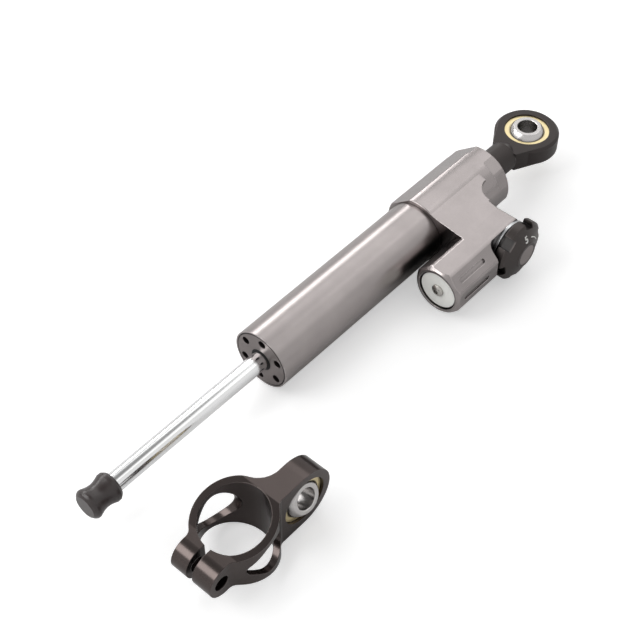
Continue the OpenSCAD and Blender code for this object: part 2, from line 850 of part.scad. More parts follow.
// Knob: a round hub, a notched rim and a shallow cone up to the disc in the middle
module adjuster_knob() {
  rim_r = knob_d / 2;
  rim_h = 3.8;
  rim_at = knob_back + knob_hub_h;
  rim_top = rim_at + rim_h;
  rim_break = 0.4;
  shoulder = 1;
  top_r = knob_cap_d / 2 + shoulder;
  top_break = 0.3;
  notch_r = rim_r - notch_depth;
  hub_r = notch_r - edge;
  track_w = detent_ball_d + 2 * ring_play;
  track_depth = 2 * detent_bite;
  color("#262527")
    at_knob()
      difference() {
        rotate_extrude()
          polygon([
            [0, knob_back], [hub_r, knob_back], [hub_r, rim_at], [rim_r - rim_break, rim_at],
            [rim_r, rim_at + rim_break], [rim_r, rim_top], [rim_r - shoulder, rim_top + shoulder],
            [top_r, knob_top - top_break], [top_r - top_break, knob_top], [0, knob_top]
          ]);
        for (k = [0 : knob_notches - 1])
          rotate(notch_turn + k * 360 / knob_notches)
            translate([notch_r, -notch_w / 2, knob_back - over]) cube([knob_d, notch_w, knob_h + 2 * over]);
        translate([0, 0, knob_back - over])
          tube(2 * detent_r + track_w, 2 * detent_r - track_w, over + track_depth);
        translate([0, 0, knob_back - over])
          cylinder(d = spindle_drive_d + 2 * seat_fit, h = spindle_drive_h + over);
        cylinder(d = screw_d + 2 * seat_fit, h = knob_top);
        translate([0, 0, screw_seat]) cylinder(d = screw_head_d + 2 * free_fit, h = knob_h);
        translate([0, 0, knob_top - knob_cap_t])
          cylinder(d = knob_cap_d + 2 * seat_fit, h = knob_cap_t + over);
      }
}

module knob_cap() {
  color("#5d5d60")
    at_knob() translate([0, 0, knob_top - knob_cap_t]) cylinder(d = knob_cap_d, h = knob_cap_t);
}

module knob_screw() {
  shank = 5.5;
  color("#8c8c8e") at_knob() translate([0, 0, screw_seat]) dome_screw(shank);
}

// Spindle: drive end in the knob, neck in the collar, and a drilled valve end in the block
module adjuster_spindle() {
  drive_top = knob_back + spindle_drive_h;
  valve_len = valve_depth + valve_top - free_fit;
  tap_floor = -1.5;
  metering_d = 2.4;
  color("#b7b9bc")
    at_knob()
      difference() {
        union() {
          translate([0, 0, knob_back - end_gap]) cylinder(d = spindle_drive_d, h = spindle_drive_h);
          translate([0, 0, valve_top - end_gap])
            cylinder(d = spindle_neck_d - 2 * run_fit, h = knob_back - valve_top);
          translate([0, 0, valve_top - valve_len]) cylinder(d = valve_d - 2 * run_fit, h = valve_len);
        }
        translate([0, 0, spindle_ring_at])
          turned_groove(valve_d, valve_d - 2 * spindle_cord, spindle_cord + 2 * ring_play);
        translate([0, 0, pocket_y - drill_y]) rotate([0, 90, 0])
          cylinder(d = metering_d, h = valve_d, center = true);
        translate([0, 0, tap_floor]) cylinder(d = screw_d + 2 * seat_fit, h = drive_top - tap_floor + over);
      }
}

module spindle_o_ring() {
  color("#1c1c1e")
    at_knob()
      translate([0, 0, spindle_ring_at + ring_play + spindle_cord / 2])
        rubber_ring(valve_d - 2 * run_fit, spindle_cord - run_fit);
}

// Rod from the tip cap right through the cylinder into the rod eye
module piston_rod() {
  start_s = tip_s - tip_depth;
  end_s = head_end_s + neck_gap + neck_len + rod_past_neck;
  groove_floor = rod_d - 2 * clip_bite;
  color("#e3e4e5")
    difference() {
      along_x(start_s)
        rotate_extrude()
          polygon([
            [0, 0], [rod_d / 2 - edge, 0], [rod_d / 2, edge], [rod_d / 2, end_s - start_s - edge],
            [rod_d / 2 - edge, end_s - start_s], [0, end_s - start_s]
          ]);
      for (s = [piston_s - clip_t - end_gap, piston_s + piston_len - end_gap])
        along_x(s) turned_groove(rod_d, groove_floor, clip_t + 2 * end_gap);
    }
}

// Black bumper on the rod's free end: two rims, a drawn-in waist and a flat nose
module rod_tip_cap() {
  rim_r = tip_d / 2;
  dip = rim_r - tip_waist_d / 2;
  rim_w = 2.6;
  nose_r = tip_nose_d / 2;
  nose_break = [0.9, 0.7];
  rim_flat = 1;
  rear_break = [0.9, 1.2];
  waist_from = rim_w;
  waist_to = tip_len - rim_w;
  steps = 12;
  waist = [
    for (k = [0 : steps])
      [rim_r - dip * sin(180 * k / steps), waist_from + (waist_to - waist_from) * k / steps]
  ];
  color("#1f1e20")
    along_x(tip_s - tip_len)
      difference() {
        rotate_extrude()
          polygon(concat(
            [[0, 0], [nose_r, 0], [nose_r + nose_break[0], nose_break[1]], [rim_r, rim_w - rim_flat]],
            waist,
            [[rim_r, tip_len - rear_break[1]], [rim_r - rear_break[0], tip_len], [0, tip_len]]
          ));
        translate([0, 0, tip_len - tip_depth])
          cylinder(d = rod_d + 2 * seat_fit, h = tip_depth + over);
      }
}

module piston() {
  land_d = liner_id - 2 * piston_land_gap;
  band_at = (piston_len - band_w) / 2;
  floor_d = liner_id - 2 * run_fit - 2 * band_t - 2 * run_fit;
  color("#a9abad")
    along_x(piston_s)
      difference() {
        tube(land_d, rod_d + 2 * seat_fit, piston_len);
        translate([0, 0, band_at]) turned_groove(land_d, floor_d, band_w);
      }
}

module piston_band() {
  band_at = (piston_len - band_w) / 2;
  out_d = liner_id - 2 * run_fit;
  color("#6b5b3e")
    along_x(piston_s + band_at + 2 * end_gap) tube(out_d, out_d - 2 * band_t, band_w - 4 * end_gap);
}

// One spring clip on each side of the piston
module piston_clips() {
  clip_wide = 1.6;
  out_d = rod_d + 2 * clip_wide;
  in_d = rod_d - 2 * clip_bite + 2 * run_fit;
  gap = 2.4;
  color("#4a4a4c")
    for (s = [piston_s - clip_t, piston_s + piston_len])
      along_x(s)
        difference() {
          tube(out_d, in_d, clip_t);
          translate([-gap / 2, 0, -over]) cube([gap, out_d, clip_t + 2 * over]);
        }
}

// Black rod eye: a round neck, tangent cheeks and a ring that holds the race
module rod_end() {
  neck_x = neck_gap - eye_reach;
  cheek_x = neck_x + neck_len;
  cheek_r = cheek_w / 2;
  neck_r = neck_d / 2;
  taper_len = 3.6;
  taper_r = neck_r - 2.2;
  ring_r = eye_d / 2;
  face_r = ring_r - eye_bevel;
  half_t = eye_t / 2;
  lean = atan2(cheek_r, cheek_x) - acos(face_r / norm([cheek_x, cheek_r]));
  touch = (face_r - sink) * [cos(lean), sin(lean)];
  color("#232224")
    difference() {
      union() {
        rotate_extrude()
          polygon([
            [0, -half_t], [face_r, -half_t], [ring_r, eye_bevel - half_t], [ring_r, half_t - eye_bevel],
            [face_r, half_t], [0, half_t]
          ]);
        translate([0, 0, -half_t])
          linear_extrude(eye_t)
            polygon([
              [0, 0], touch, [cheek_x, cheek_r], [cheek_x, -cheek_r], [touch[0], -touch[1]]
            ]);
        translate([neck_x, 0, 0])
          rotate([0, 90, 0])
            rotate_extrude()
              polygon([
                [0, 0], [neck_r - edge, 0], [neck_r, edge], [neck_r, neck_len],
                [taper_r, neck_len + taper_len], [0, neck_len + taper_len]
              ]);
      }
      translate([0, 0, -eye_t]) cylinder(d = race_d + 2 * seat_fit, h = 2 * eye_t);
      translate([neck_x - over, 0, 0])
        rotate([0, 90, 0]) cylinder(d = rod_d + 2 * seat_fit, h = neck_len + rod_past_neck + 2 * over);
    }
}

module race() {
  difference() {
    cylinder(d = race_d, h = race_w, center = true);
    sphere(d = ball_d + 2 * run_fit);
  }
}

module ball() {
  difference() {
    intersection() {
      sphere(d = ball_d);
      cube([2 * ball_d, 2 * ball_d, ball_w], center = true);
    }
    cylinder(d = bolt_d, h = 2 * ball_w, center = true);
    for (side = [0, 1])
      mirror([0, 0, side])
        translate([0, 0, ball_w / 2 - lead_in])
          cylinder(r1 = bolt_d / 2, r2 = bolt_d / 2 + 2 * lead_in, h = 2 * lead_in);
  }
}

module rod_end_race() {
  color("#c9a44c") race();
}

module rod_end_ball() {
  color("#c8c8c9") ball();
}

// Side outline of the clamp: a full-height eye end that tapers down to the ears
module clamp_side() {
  translate([clamp_eye_out, 0]) circle(clamp_eye_r);
  translate([-ear_u, 0]) circle(ear_r);
  polygon([
    [clamp_eye_out, clamp_eye_r], [clamp_bore_r, clamp_eye_r], [-taper_u, ear_r], [-ear_u, ear_r],
    [-ear_u, -ear_r], [-taper_u, -ear_r], [clamp_bore_r, -clamp_eye_r], [clamp_eye_out, -clamp_eye_r]
  ]);
}

// Top outline of the clamp: the ring, the two ears, and the eye's plate on the near side
module clamp_top() {
  ear_fillet = 4;
  far_fillet = 10;
  near_fillet = 4;
  circle(clamp_out_r);
  translate([-ear_u - ear_r - over, -ear_near]) square([ear_u + ear_r + over, ear_near + ear_far]);
  translate([0, -plate_near]) square([clamp_eye_out + clamp_eye_r + over, plate_t]);
  mirror([1, 0]) corner_fill(clamp_out_r, ear_far, ear_fillet);
  rotate(180) corner_fill(clamp_out_r, ear_near, ear_fillet);
  mirror([0, 1]) corner_fill(clamp_out_r, plate_near, near_fillet);
  corner_fill(clamp_out_r, plate_t - plate_near, far_fillet);
}

// Teardrop window through both sides of the ring
module clamp_window() {
  tangent_pair(-window_tail, window_tail_r, window_ahead, window_r);
}

module clamp_bracket() {
  reach = 2 * clamp_out_r + over;
  color("#242325")
    at_clamp()
      difference() {
        intersection() {
          translate([0, 0, -clamp_h]) linear_extrude(2 * clamp_h) clamp_top();
          rotate([90, 0, 0]) linear_extrude(reach, center = true) clamp_side();
        }
        translate([0, 0, -clamp_h]) cylinder(r = clamp_bore_r, h = 2 * clamp_h);
        translate([-ear_u - ear_h, -slit_w / 2, -clamp_h]) cube([ear_u + ear_h, slit_w, 2 * clamp_h]);
        translate([-pinch_u, 0, 0]) rotate([90, 0, 0]) cylinder(d = pinch_hole_d, h = reach, center = true);
        translate([clamp_eye_out, 0, 0])
          rotate([90, 0, 0]) cylinder(d = race_d + 2 * seat_fit, h = reach, center = true);
        rotate([90, 0, 0]) linear_extrude(reach, center = true) clamp_window();
      }
}

module clamp_race() {
  color("#c9a44c") at_clamp_eye() race();
}

module clamp_ball() {
  color("#c8c8c9") at_clamp_eye() rotate([-clamp_ball_tilt, 0, 0]) ball();
}

cylinder_tube();
inner_liner();
rod_gland();
gland_o_ring();
front_wiper();
front_rod_seal();
front_guide_bush();
head_block();
head_o_ring();
rear_guide_bush();
rear_rod_seal();
rear_wiper();
reservoir_cap();
cap_o_ring();
cap_circlip();
filler_screw();
floating_piston();
floating_piston_o_ring();
adjuster_collar();
detent_plunger();
detent_ball();
adjuster_knob();
knob_cap();
knob_screw();
adjuster_spindle();
spindle_o_ring();
piston_rod();
rod_tip_cap();
piston();
piston_band();
piston_clips();
rod_end();
rod_end_race();
rod_end_ball();
clamp_bracket();
clamp_race();
clamp_ball();
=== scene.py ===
"""Motorcycle steering damper with its loose clamp, on a white studio floor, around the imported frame."""

import math

import bpy
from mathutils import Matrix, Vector


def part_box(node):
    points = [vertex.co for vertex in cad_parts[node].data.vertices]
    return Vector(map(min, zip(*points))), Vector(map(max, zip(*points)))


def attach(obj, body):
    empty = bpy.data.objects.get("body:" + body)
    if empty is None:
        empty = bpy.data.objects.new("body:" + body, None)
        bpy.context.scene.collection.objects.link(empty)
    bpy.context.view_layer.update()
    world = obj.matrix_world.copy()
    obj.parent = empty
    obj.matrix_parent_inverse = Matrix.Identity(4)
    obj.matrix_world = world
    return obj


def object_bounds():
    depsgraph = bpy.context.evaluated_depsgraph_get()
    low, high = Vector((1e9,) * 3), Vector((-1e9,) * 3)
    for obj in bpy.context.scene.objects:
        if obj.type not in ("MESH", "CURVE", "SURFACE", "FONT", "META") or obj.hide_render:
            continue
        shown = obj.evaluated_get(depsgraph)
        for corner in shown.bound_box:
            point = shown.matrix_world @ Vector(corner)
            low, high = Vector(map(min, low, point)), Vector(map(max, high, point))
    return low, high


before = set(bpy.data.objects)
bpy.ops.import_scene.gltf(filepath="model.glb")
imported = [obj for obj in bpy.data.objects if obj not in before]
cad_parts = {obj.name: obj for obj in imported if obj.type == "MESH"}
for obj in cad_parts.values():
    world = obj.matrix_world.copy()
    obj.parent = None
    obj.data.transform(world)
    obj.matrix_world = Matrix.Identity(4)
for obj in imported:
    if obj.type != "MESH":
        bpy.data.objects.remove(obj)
cad_low, cad_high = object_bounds()


# Cylinder tube: a drawn aluminium tube, turned smooth and anodised a warm grey.
# The head is bonded over its rear end, and the gland screws into its front end.
# Fine turning lines run round it, and the colour drifts a little along its length.
MM = 0.001


def add_node(tree, kind, inputs=None, **settings):
    """Adds a node. Each input takes a value, or links where it is given an output or a list of outputs."""
    node = tree.nodes.new(kind)
    for name, value in settings.items():
        setattr(node, name, value)
    for socket, given in (inputs or {}).items():
        sources = given if isinstance(given, list) else [given]
        if isinstance(sources[0], bpy.types.NodeSocket):
            for source in sources:
                tree.links.new(source, node.inputs[socket])
        else:
            node.inputs[socket].default_value = given
    return node


DRIFT_SIZE = 14 * MM
DRIFT_DETAIL = 3
NOISE_LOW, NOISE_HIGH = 0.3, 0.7
EDGE_SAMPLES = 8
EDGE_FLAT, EDGE_SHARP = 0.995, 0.9
EDGE_LIGHT_GAIN, EDGE_LIGHT_LIFT = 1.6, 0.05
CORNER_SAMPLES = 16
CORNER_DEEP, CORNER_OPEN = 0.2, 0.8
GRAIN_DETAIL = 4
GRAIN_STRENGTH = 0.03
GRAIN_DEPTH = 0.004 * MM
GLOSS_SPREAD = 0.08


def satin_metal(name, colour, metallic, roughness, grain=0.9 * MM, edge=0.25 * MM, drift=0.06,
                wear_and_highlight=0.6, corner_shade=0.6, shade_reach=2.5 * MM):
    """A finish whose colour drifts slowly, with fine grain in its gloss, lightened edges and painted shade in
    its corners.

    grain and edge are the sizes of the grain and of a lightened edge; the last argument is how far the
    painted shade spreads from a corner.
    drift sets how strong the change of colour is; the two arguments after it set how much edges are
    lightened, partly from rubbing and partly as painted highlight, and how dark the painted shade in corners
    is.
    """
    material = bpy.data.materials.new(name)
    material.use_nodes = True
    tree = material.node_tree
    tree.nodes.clear()
    place = add_node(tree, "ShaderNodeTexCoord")

    slow = add_node(tree, "ShaderNodeTexNoise",
                    {"Vector": place.outputs["Object"], "Scale": 1 / DRIFT_SIZE, "Detail": DRIFT_DETAIL})
    shades = add_node(tree, "ShaderNodeValToRGB", {"Fac": slow.outputs["Fac"]})
    darker, lighter = shades.color_ramp.elements
    darker.position, lighter.position = NOISE_LOW, NOISE_HIGH
    darker.color = [c * (1 - drift) for c in colour] + [1]
    lighter.color = [c * (1 + drift) for c in colour] + [1]

    # Edges are painted lighter, found from a softened normal: partly metal bared by rubbing, partly a painted
    # highlight.
    soft_edge = add_node(tree, "ShaderNodeBevel", {"Radius": edge}, samples=EDGE_SAMPLES)
    face = add_node(tree, "ShaderNodeNewGeometry")
    turn = add_node(tree, "ShaderNodeVectorMath",
                    {0: soft_edge.outputs["Normal"], 1: face.outputs["Normal"]}, operation="DOT_PRODUCT")
    edge_wear_and_highlight = add_node(tree, "ShaderNodeMapRange",
                      {"Value": turn.outputs["Value"], "From Min": EDGE_FLAT, "From Max": EDGE_SHARP,
                       "To Max": wear_and_highlight})
    worn_and_highlit = add_node(tree, "ShaderNodeMix",
                    {"Factor": edge_wear_and_highlight.outputs["Result"], "A": shades.outputs["Color"],
                     "B": [min(1, EDGE_LIGHT_GAIN * c + EDGE_LIGHT_LIFT) for c in colour] + [1]}, data_type="RGBA")

    # Painted shade: ambient occlusion darkens the colour in corners, in recesses and beside nearby parts.
    corner = add_node(tree, "ShaderNodeAmbientOcclusion", {"Distance": shade_reach}, samples=CORNER_SAMPLES)
    painted_shade = add_node(tree, "ShaderNodeMapRange",
                    {"Value": corner.outputs["AO"], "From Min": CORNER_DEEP, "From Max": CORNER_OPEN,
                     "To Min": 1 - corner_shade})
    shaded_colour = add_node(tree, "ShaderNodeVectorMath",
                      {"Vector": worn_and_highlit.outputs["Result"], "Scale": painted_shade.outputs["Result"]}, operation="SCALE")

    fine = add_node(tree, "ShaderNodeTexNoise",
                    {"Vector": place.outputs["Object"], "Scale": 1 / grain, "Detail": GRAIN_DETAIL})
    gloss = add_node(tree, "ShaderNodeMapRange",
                     {"Value": fine.outputs["Fac"], "From Min": NOISE_LOW, "From Max": NOISE_HIGH,
                      "To Min": roughness * (1 - GLOSS_SPREAD), "To Max": roughness * (1 + GLOSS_SPREAD)})
    relief = add_node(tree, "ShaderNodeBump",
                      {"Strength": GRAIN_STRENGTH, "Distance": GRAIN_DEPTH, "Height": fine.outputs["Fac"],
                       "Normal": soft_edge.outputs["Normal"]}, name="relief")

    shader = add_node(tree, "ShaderNodeBsdfPrincipled",
                      {"Base Color": shaded_colour.outputs["Vector"], "Metallic": metallic,
                       "Roughness": gloss.outputs["Result"], "Normal": relief.outputs["Normal"]},
                      name="finish")
    add_node(tree, "ShaderNodeOutputMaterial", {"Surface": shader.outputs["BSDF"]})
    return material


# A wave texture turns through this many radians in each unit of its scale.
WAVE_RADIANS = 20
LINE_WANDER = 1.2
LINE_DETAIL = 2
LINE_DETAIL_SCALE = 3
LINE_STRENGTH = 0.3


def turning_lines(material, pitch, depth, rings=False, centre=(0, 0, 0)):
    """Adds the lines that a lathe tool leaves round the X axis: bands along it, or rings on an end face."""
    tree = material.node_tree
    place = add_node(tree, "ShaderNodeTexCoord")
    shift = add_node(tree, "ShaderNodeMapping",
                     {"Vector": place.outputs["Object"], "Location": [-c for c in centre]})
    lines = add_node(tree, "ShaderNodeTexWave",
                     {"Vector": shift.outputs["Vector"], "Scale": 2 * math.pi / WAVE_RADIANS / pitch,
                      "Distortion": LINE_WANDER, "Detail": LINE_DETAIL, "Detail Scale": LINE_DETAIL_SCALE},
                     wave_type="RINGS" if rings else "BANDS", bands_direction="X", rings_direction="X")
    cut = add_node(tree, "ShaderNodeBump",
                   {"Strength": LINE_STRENGTH, "Distance": depth, "Height": lines.outputs["Fac"],
                    "Normal": tree.nodes["relief"].outputs["Normal"]})
    tree.links.new(cut.outputs["Normal"], tree.nodes["finish"].inputs["Normal"])


def dress(material, *names):
    """Gives the CAD nodes of these names one finish."""
    for name in names:
        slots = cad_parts[name].data.materials
        slots.clear()
        slots.append(material)


GREY_ANODISED = (0.362, 0.329, 0.323)
# Strong painted shade darkens it beside the head's barrel and in its other corners.
tube_finish = satin_metal("grey_anodised_tube", GREY_ANODISED, metallic=1.0, roughness=0.3,
                          corner_shade=0.75, shade_reach=10 * MM)
turning_lines(tube_finish, pitch=0.9 * MM, depth=0.001 * MM)
dress(tube_finish, "cylinder_tube")


# Liner, piston and the other turned pieces inside: bare aluminium from the lathe.
# The liner stands between gland and head, and the piston is held on the rod by two spring clips.
# They are hidden in the assembled damper, and show when it is taken apart.
BARE_ALUMINIUM = (0.62, 0.63, 0.64)
lathe_finish = satin_metal("bare_turned_aluminium", BARE_ALUMINIUM, metallic=1.0, roughness=0.3)
turning_lines(lathe_finish, pitch=0.3 * MM, depth=0.005 * MM)
dress(lathe_finish, "inner_liner", "piston", "floating_piston", "adjuster_spindle")


# Rod gland: the screwed plug that closes the tube's front end and carries the rod seals.
# It is turned from bar, with six holes for a pin spanner, and anodised with the tube.
# A ring of painted shade darkens the seam between its rim and the tube's lip.
def darken(material, factor):
    """Multiplies a finish's colour by a factor that changes over the surface."""
    tree = material.node_tree
    shader = tree.nodes["finish"]
    darker = add_node(tree, "ShaderNodeVectorMath",
                      {"Vector": shader.inputs["Base Color"].links[0].from_socket, "Scale": factor},
                      operation="SCALE")
    tree.links.new(darker.outputs["Vector"], shader.inputs["Base Color"])


def seam_shade(material, radius, width, left, across=(0, 1, 1), centre=(0, 0, 0)):
    """Darkens a ring just inside a radius to a part of its colour, as painted shade in a seam; across is 0
    along the ring's axis.
    """
    tree = material.node_tree
    place = add_node(tree, "ShaderNodeTexCoord")
    flat = add_node(tree, "ShaderNodeMapping",
                    {"Vector": place.outputs["Object"], "Scale": across,
                     "Location": [-c * k for c, k in zip(centre, across)]})
    out = add_node(tree, "ShaderNodeVectorMath", {0: flat.outputs["Vector"]}, operation="LENGTH")
    ring = add_node(tree, "ShaderNodeMapRange",
                    {"Value": out.outputs["Value"], "From Min": radius - width,
                     "From Max": radius - width / 2, "To Min": 1, "To Max": left})
    darken(material, ring.outputs["Result"])


GLAND_GREY = (0.225, 0.198, 0.193)
gland_low, gland_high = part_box("rod_gland")
gland_finish = satin_metal("grey_anodised_gland", GLAND_GREY, metallic=1.0, roughness=0.36,
                           wear_and_highlight=0.2, corner_shade=0.8, shade_reach=3 * MM)
turning_lines(gland_finish, pitch=0.4 * MM, depth=0.008 * MM, rings=True)
seam_shade(gland_finish, radius=(gland_high.y - gland_low.y) / 2, width=0.7 * MM, left=0.12)
dress(gland_finish, "rod_gland")


# Rubber rings, rod seals and wipers: moulded black nitrile, matt, with a faint bloom.
# The wipers stand out round the rod at both ends, and the rest sit in their grooves.
RUBBER_BLACK = (0.012, 0.012, 0.012)
RUBBER_SHINE = 0.2
rubber = satin_metal("black_nitrile", RUBBER_BLACK, metallic=0.0, roughness=0.62,
                     grain=0.5 * MM, edge=0.1 * MM, drift=0.2, wear_and_highlight=0)
rubber.node_tree.nodes["finish"].inputs["Specular IOR Level"].default_value = RUBBER_SHINE
dress(rubber, "gland_o_ring", "front_wiper", "front_rod_seal", "head_o_ring", "rear_rod_seal",
      "rear_wiper", "cap_o_ring", "floating_piston_o_ring", "spindle_o_ring")


# Guide bushes: bronze sleeves, turned and reamed, that the rod slides in.
# One is pressed into the gland and one into the head.
BRONZE = (0.60, 0.42, 0.17)
bush_finish = satin_metal("turned_bronze", BRONZE, metallic=1.0, roughness=0.3)
turning_lines(bush_finish, pitch=0.3 * MM, depth=0.005 * MM)
dress(bush_finish, "front_guide_bush", "rear_guide_bush")


# Head block: the head and the reservoir's barrel, milled from one bar of aluminium.
# It is anodised with the tube and comes out a shade darker.
# Its sharp edges are painted lighter, partly from rubbing and partly as highlight, and strong painted shade
# darkens its corners and the gap beside the tube.
HEAD_GREY = (0.342, 0.311, 0.306)
head_finish = satin_metal("grey_anodised_head", HEAD_GREY, metallic=1.0, roughness=0.245,
                          edge=0.4 * MM, wear_and_highlight=0.9, corner_shade=0.75, shade_reach=8 * MM)
dress(head_finish, "head_block")


# Reservoir cap: a bright turned disc in the barrel's mouth, with a domed steel filler screw in it.
# A blackened spring ring in front of its shoulder keeps it in.
CAP_SILVER = (0.97, 0.97, 0.93)
barrel_low, barrel_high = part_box("reservoir_cap")
barrel_axis = (0, (barrel_low.y + barrel_high.y) / 2, 0)
cap_finish = satin_metal("turned_silver_cap", CAP_SILVER, metallic=0.15, roughness=0.38, shade_reach=1.2 * MM)
turning_lines(cap_finish, pitch=0.25 * MM, depth=0.008 * MM, rings=True, centre=barrel_axis)
dress(cap_finish, "reservoir_cap")
SCREW_STEEL = (0.55, 0.53, 0.50)
# Painted shade darkens the screws round their heads and in their sockets.
screw_finish = satin_metal("bright_screw_steel", SCREW_STEEL, metallic=1.0, roughness=0.2,
                           edge=0.12 * MM, corner_shade=0.85, shade_reach=1.5 * MM)
dress(screw_finish, "filler_screw", "knob_screw", "detent_plunger", "detent_ball")
SPRING_BLACK = (0.02, 0.02, 0.021)
spring_finish = satin_metal("blackened_spring_steel", SPRING_BLACK, metallic=0.6, roughness=0.35,
                            edge=0.1 * MM)
dress(spring_finish, "cap_circlip", "piston_clips")


# Adjuster: a bright turned collar in the pocket's floor, and a black anodised knob that turns the spindle.
# A grey disc is pressed in over the screw in the knob's middle.
# Painted shade darkens the knob's finger notches, its corners and a ring round the disc.
NOTCH_LIT, NOTCH_SHADED = 0.15 * MM, 0.9 * MM
RIM_LIT, RIM_SHADED = 0.9 * MM, 1.2 * MM


def notch_shade(material, foot, slope, rim, left):
    """Darkens, as painted shade, what lies below the knob's cone and inside its rim: the floors and walls of
    the notches.
    """
    tree = material.node_tree
    place = add_node(tree, "ShaderNodeTexCoord")
    home = add_node(tree, "ShaderNodeMapping",
                    {"Vector": place.outputs["Object"], "Location": [-c for c in foot]})
    parts = add_node(tree, "ShaderNodeSeparateXYZ", {"Vector": home.outputs["Vector"]})
    flat = add_node(tree, "ShaderNodeCombineXYZ", {"X": parts.outputs["X"], "Z": parts.outputs["Z"]})
    out = add_node(tree, "ShaderNodeVectorMath", {0: flat.outputs["Vector"]}, operation="LENGTH")
    cone = add_node(tree, "ShaderNodeMath", {0: out.outputs["Value"], 1: slope}, operation="MULTIPLY")
    depth = add_node(tree, "ShaderNodeMath",
                     {0: parts.outputs["Y"], 1: cone.outputs[0]}, operation="SUBTRACT")
    low = add_node(tree, "ShaderNodeMapRange",
                   {"Value": depth.outputs[0], "From Min": NOTCH_LIT, "From Max": NOTCH_SHADED})
    inside = add_node(tree, "ShaderNodeMapRange",
                      {"Value": out.outputs["Value"], "From Min": rim - RIM_SHADED,
                       "From Max": rim - RIM_LIT, "To Min": 1, "To Max": 0})
    notch = add_node(tree, "ShaderNodeMath",
                     {0: low.outputs["Result"], 1: inside.outputs["Result"]}, operation="MULTIPLY")
    keep = add_node(tree, "ShaderNodeMapRange", {"Value": notch.outputs[0], "To Min": 1, "To Max": left})
    darken(material, keep.outputs["Result"])


collar_finish = satin_metal("turned_collar", BARE_ALUMINIUM, metallic=1.0, roughness=0.32, corner_shade=0.8)
dress(collar_finish, "adjuster_collar")
KNOB_BLACK = (0.060, 0.050, 0.047)
knob_finish = satin_metal("black_anodised_knob", KNOB_BLACK, metallic=0.55, roughness=0.36,
                          grain=0.4 * MM, edge=0.3 * MM, corner_shade=0.85, shade_reach=4 * MM)
CONE_TOP_RADIUS = 6.2 * MM
CONE_TOP_BREAK = 0.3 * MM
CONE_SLOPE = 2.7 / 6.6
knob_low, knob_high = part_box("adjuster_knob")
cone_foot = ((knob_low.x + knob_high.x) / 2,
             knob_low.y + CONE_TOP_BREAK - CONE_SLOPE * CONE_TOP_RADIUS,
             (knob_low.z + knob_high.z) / 2)
notch_shade(knob_finish, cone_foot, CONE_SLOPE, rim=(knob_high.x - knob_low.x) / 2, left=0.2)
dress(knob_finish, "adjuster_knob")
DISC_GREY = (0.285, 0.247, 0.240)
disc_low, disc_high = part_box("knob_cap")
disc_finish = satin_metal("grey_knob_disc", DISC_GREY, metallic=0.9, roughness=0.34)
seam_shade(disc_finish, radius=(disc_high.x - disc_low.x) / 2, width=0.6 * MM, left=0.1,
          across=(1, 0, 1), centre=(disc_low + disc_high) / 2)
dress(disc_finish, "knob_cap")


# Dial marks: a numeral and an arc, printed in white on the cone of the knob's face.
# They turn with the knob. The numeral stands at the top and the arc runs down beside it.
NUMERAL = "5"
ARC_POINTS = 40


